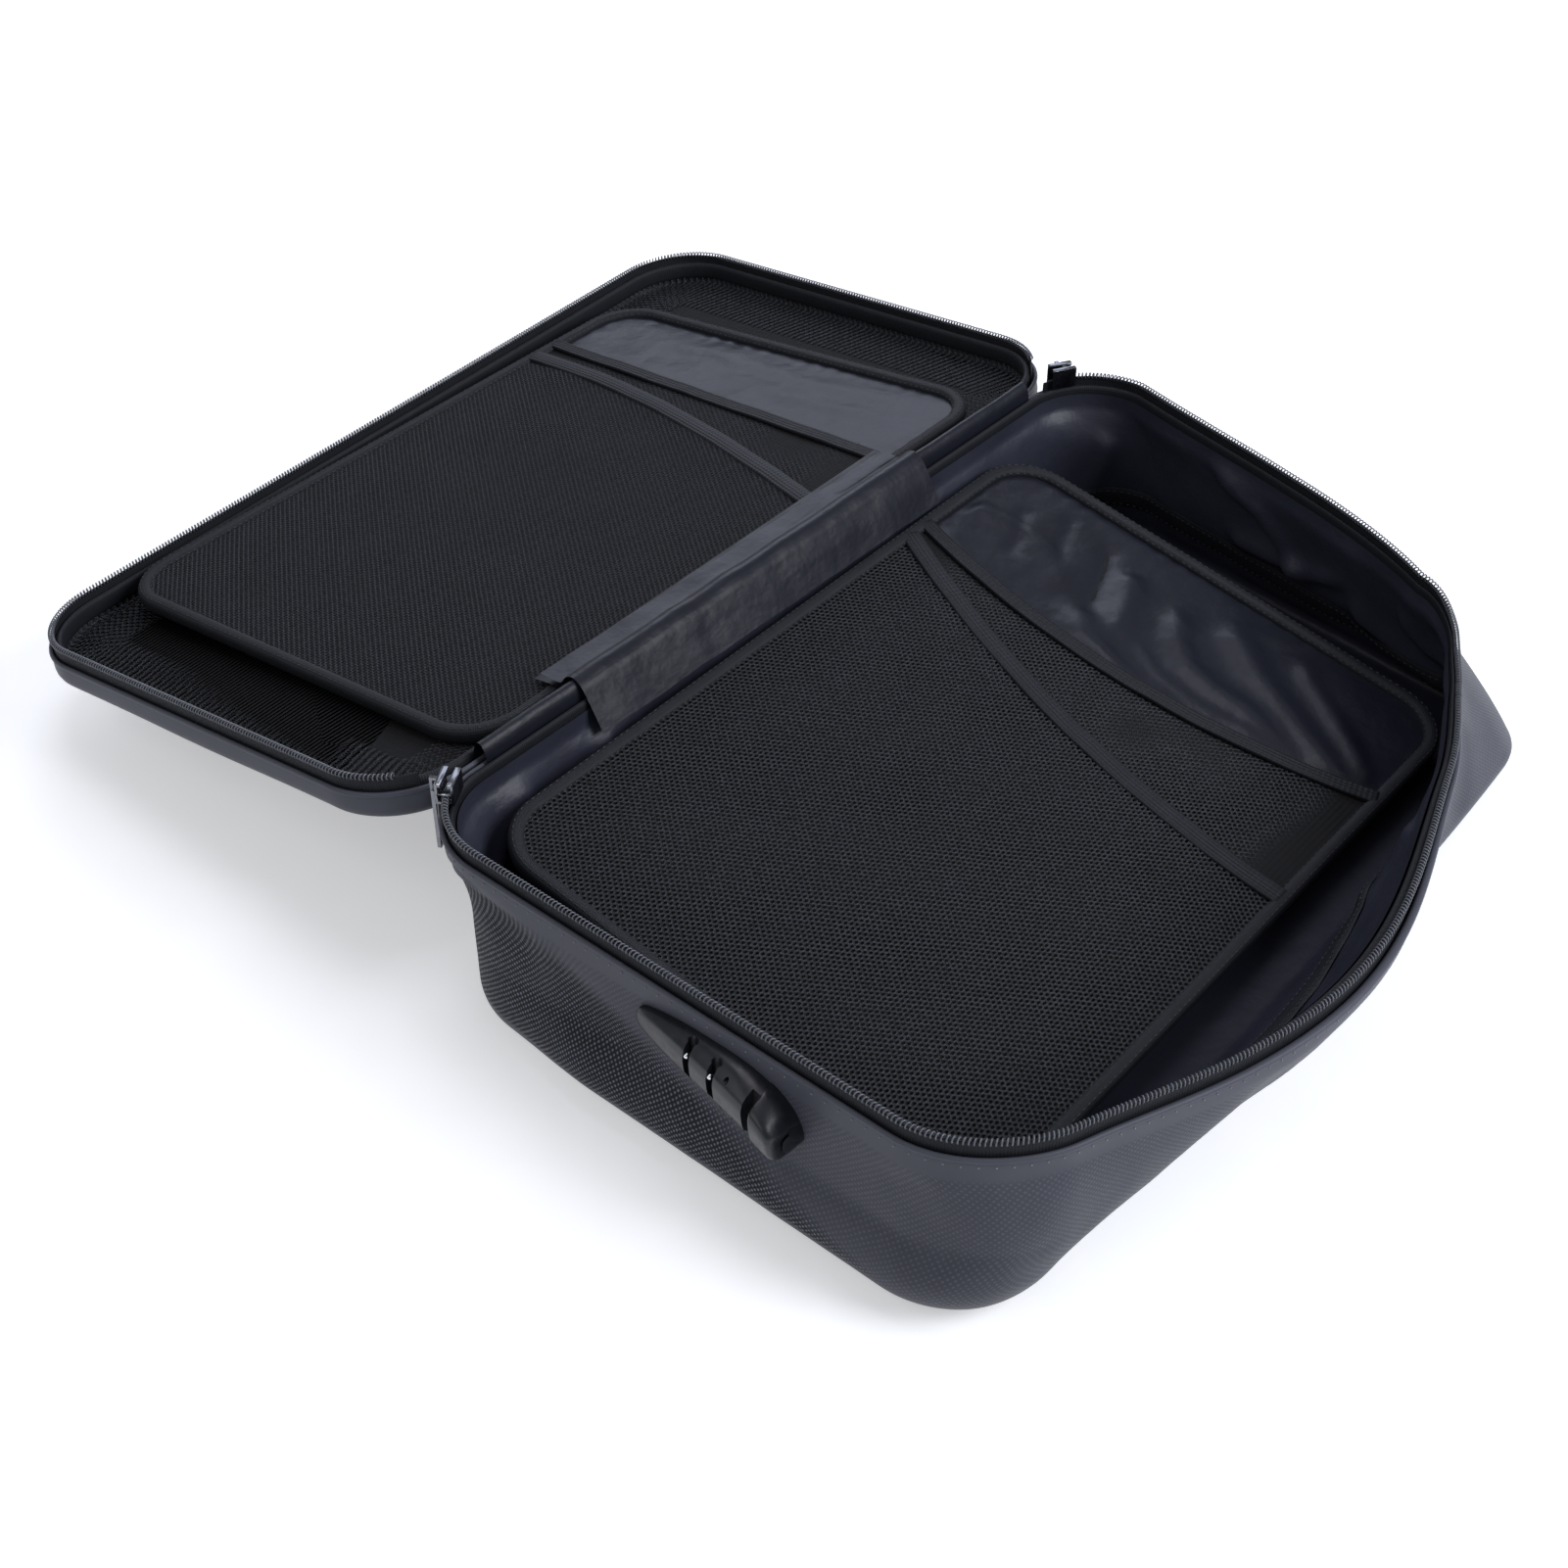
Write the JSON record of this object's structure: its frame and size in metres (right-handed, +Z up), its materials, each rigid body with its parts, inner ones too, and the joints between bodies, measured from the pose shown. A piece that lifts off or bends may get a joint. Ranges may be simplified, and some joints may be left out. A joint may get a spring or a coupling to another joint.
{
  "type": "fireproof document bag",
  "caption": "Soft zip document bag that opens like a book: deep tray, shallow lid, turning mesh-pocket pages and a combination lock on the short wall.",
  "frame": {"origin": "centre of the underside of the base tray, where the bag rests", "axes": "+Z up; X across the bag with the hinge at -X, so the lid lies open towards -X; Y along the hinge with the locked short wall at -Y"},
  "size_m": [0.5541, 0.4363, 0.0906],
  "materials": {
    "coated_cloth": "coated glass-fibre cloth, fine plain weave, satin",
    "satin_lining": "smooth satin lining cloth",
    "mesh": "open knitted mesh over foam",
    "binding_tape": "woven nylon tape",
    "elastic": "ribbed elastic tape",
    "zip_nylon": "moulded nylon coil",
    "nickel": "polished nickel plate",
    "lock_plastic": "satin moulded ABS",
    "steel": "bright steel",
    "foam": "soft insulating foam",
    "board": "stiffening board"
  },
  "bodies": {
    "base": {"base_shell": "coated_cloth", "base_foam": "foam", "base_floor_board": "board", "base_lining": "satin_lining", "base_rim_binding": "binding_tape", "base_zip_tape": "binding_tape", "base_zip_coil": "zip_nylon", "hinge_cloth": "satin_lining", "page_link": "satin_lining", "lock_body": "lock_plastic", "lock_dial_shaft": "steel", "lock_back_plate": "steel", "lock_screw_1": "steel", "lock_screw_2": "steel"},
    "lid": {"lid_shell": "coated_cloth", "lid_board": "board", "lid_mesh_lining": "mesh", "lid_rim_binding": "binding_tape", "lid_zip_tape": "binding_tape", "lid_zip_coil": "zip_nylon"},
    "base_page": {"base_page_board": "board", "base_page_backing": "satin_lining", "base_page_binding": "binding_tape", "base_page_rear_pocket": "mesh", "base_page_front_pocket": "mesh", "base_page_rear_band": "elastic", "base_page_front_band": "elastic"},
    "lid_page": {"lid_page_board": "board", "lid_page_backing": "satin_lining", "lid_page_binding": "binding_tape", "lid_page_rear_pocket": "mesh", "lid_page_front_pocket": "mesh", "lid_page_rear_band": "elastic", "lid_page_front_band": "elastic", "lid_page_sleeve": "satin_lining"},
    "front_slider": {"front_slider": "nickel"},
    "front_pull": {"front_pull": "nickel"},
    "back_slider": {"back_slider": "nickel"},
    "back_pull": {"back_pull": "nickel"},
    "lock_button": {"lock_button": "lock_plastic", "lock_catch": "steel"},
    "dial_1": {"lock_dial_1": "lock_plastic"},
    "dial_2": {"lock_dial_2": "lock_plastic"},
    "dial_3": {"lock_dial_3": "lock_plastic"}
  },
  "joints": [
    {"name": "lid_hinge", "type": "hinge", "parent": "base", "child": "lid", "pos_m": [-0.13575, 0, 0.0863], "axis": [0, 1, 0], "range_deg": [0, 186.8], "deforming": ["hinge_cloth", "page_link"]},
    {"name": "base_page_hinge", "type": "hinge", "parent": "base", "child": "base_page", "pos_m": [-0.11934, -0.01198, 0.06839], "axis": [-0.0175, 0.9998, 0], "range_deg": [-103, 0], "deforming": ["page_link", "base_shell", "base_foam", "base_lining", "base_rim_binding", "base_zip_tape", "base_zip_coil"]},
    {"name": "lid_page_hinge", "type": "hinge", "parent": "lid", "child": "lid_page", "pos_m": [-0.14447, -0.00409, 0.08002], "axis": [0.002, -0.9999, -0.014], "range_deg": [-101, 0], "deforming": ["page_link"]},
    {"name": "front_slider_travel", "type": "hinge", "parent": "base", "child": "front_slider", "pos_m": [-0.096, -0.173, 0.08615], "axis": [0, 0, 1], "range_deg": [0, 58]},
    {"name": "front_pull_swing", "type": "hinge", "parent": "front_slider", "child": "front_pull", "pos_m": [-0.13112, -0.19328, 0.08615], "axis": [-0.5, 0.866, 0], "range_deg": [0, 30]},
    {"name": "back_slider_travel", "type": "hinge", "parent": "base", "child": "back_slider", "pos_m": [-0.096, 0.168, 0.08615], "axis": [0, 0, -1], "range_deg": [0, 50]},
    {"name": "back_pull_swing", "type": "hinge", "parent": "back_slider", "child": "back_pull", "pos_m": [-0.13112, 0.18827, 0.08615], "axis": [0.5, 0.866, 0], "range_deg": [0, 12]},
    {"name": "lock_button_slide", "type": "slide", "parent": "base", "child": "lock_button", "axis": [-1, 0, 0], "range_m": [0, 0.0025], "stiffness_N_per_m": 150, "springref_m": -0.002},
    {"name": "dial_1_turn", "type": "hinge", "parent": "base", "child": "dial_1", "pos_m": [0.0245, -0.2154, 0.0512], "axis": [0.9397, 0, -0.342], "continuous": true},
    {"name": "dial_2_turn", "type": "hinge", "parent": "base", "child": "dial_2", "pos_m": [0.02957, -0.2154, 0.04935], "axis": [0.9397, 0, -0.342], "continuous": true},
    {"name": "dial_3_turn", "type": "hinge", "parent": "base", "child": "dial_3", "pos_m": [0.03465, -0.2154, 0.04751], "axis": [0.9397, 0, -0.342], "continuous": true}
  ]
}
